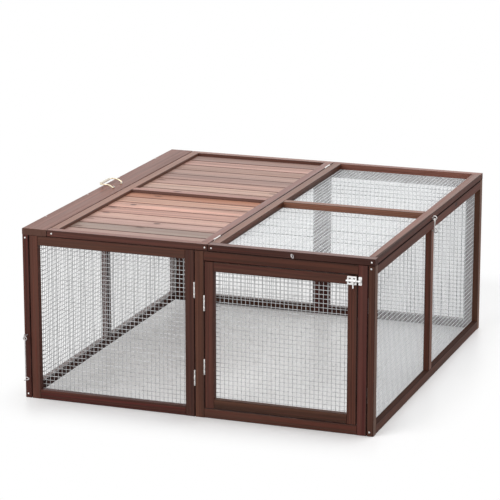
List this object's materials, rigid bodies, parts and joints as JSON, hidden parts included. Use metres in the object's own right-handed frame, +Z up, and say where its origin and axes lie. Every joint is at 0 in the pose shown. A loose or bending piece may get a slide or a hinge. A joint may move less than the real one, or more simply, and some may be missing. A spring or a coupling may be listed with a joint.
{
  "type": "portable chicken coop",
  "caption": "Folding wooden poultry run: hinged lath frames with wire mesh, a slatted and a meshed roof lid, a bolted front door and a carrying handle.",
  "frame": {"origin": "on the ground under the middle of the whole outline, hooks and eyes included", "axes": "+X along the front to the right, +Y from the front to the back, +Z up"},
  "size_m": [1.0158, 1.1178, 0.4949],
  "materials": {
    "stained_lath": "dark red-brown stain, planed, satin",
    "stained_board": "red-brown stain, weathered, satin",
    "galvanised_mesh": "galvanised wire",
    "zinc_hardware": "bright zinc plate",
    "handle_wire": "pale passivated wire"
  },
  "bodies": {
    "left_wall": {"left_wall_stiles": "stained_lath", "left_wall_rails": "stained_lath", "left_wall_bar": "stained_lath", "left_wall_mesh": "galvanised_mesh", "left_wall_leaves": "zinc_hardware", "shelf_board": "stained_board", "shelf_hinges": "zinc_hardware", "left_lid_stiles": "stained_lath", "left_lid_rails": "stained_lath", "left_lid_slats": "stained_board", "left_lid_batten": "stained_board", "left_lid_leaves": "zinc_hardware", "storage_eye": "zinc_hardware", "handle_staples": "zinc_hardware"},
    "front_left": {"front_left_stiles": "stained_lath", "front_left_rails": "stained_lath", "front_left_mesh": "galvanised_mesh", "front_left_leaves": "zinc_hardware"},
    "front_right": {"front_right_stiles": "stained_lath", "front_right_rails": "stained_lath", "front_right_leaves": "zinc_hardware", "bolt_keeper": "zinc_hardware"},
    "right_wall": {"right_wall_stiles": "stained_lath", "right_wall_rails": "stained_lath", "right_wall_bar": "stained_lath", "right_wall_mesh": "galvanised_mesh", "right_wall_leaves": "zinc_hardware", "right_wall_eye": "zinc_hardware"},
    "back_left": {"back_left_stiles": "stained_lath", "back_left_rails": "stained_lath", "back_left_mesh": "galvanised_mesh", "back_left_leaves": "zinc_hardware"},
    "back_right": {"back_right_stiles": "stained_lath", "back_right_rails": "stained_lath", "back_right_mesh": "galvanised_mesh", "back_right_leaves": "zinc_hardware"},
    "door": {"door_stiles": "stained_lath", "door_rails": "stained_lath", "door_mesh": "galvanised_mesh", "door_leaves": "zinc_hardware", "bolt_plate": "zinc_hardware"},
    "door_bolt": {"bolt_rod": "zinc_hardware"},
    "right_lid": {"right_lid_stiles": "stained_lath", "right_lid_rails": "stained_lath", "right_lid_bar": "stained_lath", "right_lid_mesh": "galvanised_mesh", "right_lid_leaves": "zinc_hardware", "right_lid_eyes": "zinc_hardware"},
    "roof_hook": {"roof_hook": "zinc_hardware"},
    "storage_hook": {"storage_hook": "zinc_hardware"},
    "carry_handle": {"carry_handle": "handle_wire", "handle_grip": "handle_wire"}
  },
  "joints": [
    {"name": "front_left_fold", "type": "hinge", "parent": "left_wall", "child": "front_left", "pos_m": [-0.4889, -0.5171, 0.231], "axis": [0, 0, 1], "range_deg": [0, 88]},
    {"name": "front_mid_fold", "type": "hinge", "parent": "front_left", "child": "front_right", "pos_m": [-0.0079, -0.5371, 0.231], "axis": [0, 0, 1], "range_deg": [-176, 0]},
    {"name": "right_wall_fold", "type": "hinge", "parent": "front_right", "child": "right_wall", "pos_m": [0.4731, -0.5171, 0.231], "axis": [0, 0, 1], "range_deg": [0, 88]},
    {"name": "back_left_fold", "type": "hinge", "parent": "left_wall", "child": "back_left", "pos_m": [-0.4889, 0.5369, 0.231], "axis": [0, 0, 1], "range_deg": [-88, 0]},
    {"name": "back_mid_fold", "type": "hinge", "parent": "back_left", "child": "back_right", "pos_m": [-0.0079, 0.5569, 0.231], "axis": [0, 0, 1], "range_deg": [0, 176]},
    {"name": "door_swing", "type": "hinge", "parent": "front_right", "child": "door", "pos_m": [0.0201, -0.5371, 0.231], "axis": [0, 0, 1], "range_deg": [-160, 0]},
    {"name": "bolt_slide", "type": "slide", "parent": "door", "child": "door_bolt", "axis": [1, 0, 0], "range_m": [-0.008, 0]},
    {"name": "right_lid_lift", "type": "hinge", "parent": "left_wall", "child": "right_lid", "pos_m": [0.0291, 0.0099, 0.481], "axis": [0, -1, 0], "range_deg": [0, 180]},
    {"name": "roof_hook_swing", "type": "hinge", "parent": "right_lid", "child": "roof_hook", "pos_m": [0.4996, 0.0009, 0.463], "axis": [1, 0, 0], "range_deg": [-100, 0]},
    {"name": "storage_hook_swing", "type": "hinge", "parent": "left_wall", "child": "storage_hook", "pos_m": [-0.4989, -0.5521, 0.1745], "axis": [0, -1, 0], "range_deg": [0, 127]},
    {"name": "handle_lift", "type": "hinge", "parent": "left_wall", "child": "carry_handle", "pos_m": [-0.4649, 0.0239, 0.4821], "axis": [0, 1, 0], "range_deg": [0, 90]}
  ],
  "couplings": [
    {"joint": "front_mid_fold", "follows": "front_left_fold", "ratio": -2},
    {"joint": "right_wall_fold", "follows": "front_left_fold", "ratio": 1},
    {"joint": "back_left_fold", "follows": "front_left_fold", "ratio": -1},
    {"joint": "back_mid_fold", "follows": "front_left_fold", "ratio": 2}
  ]
}
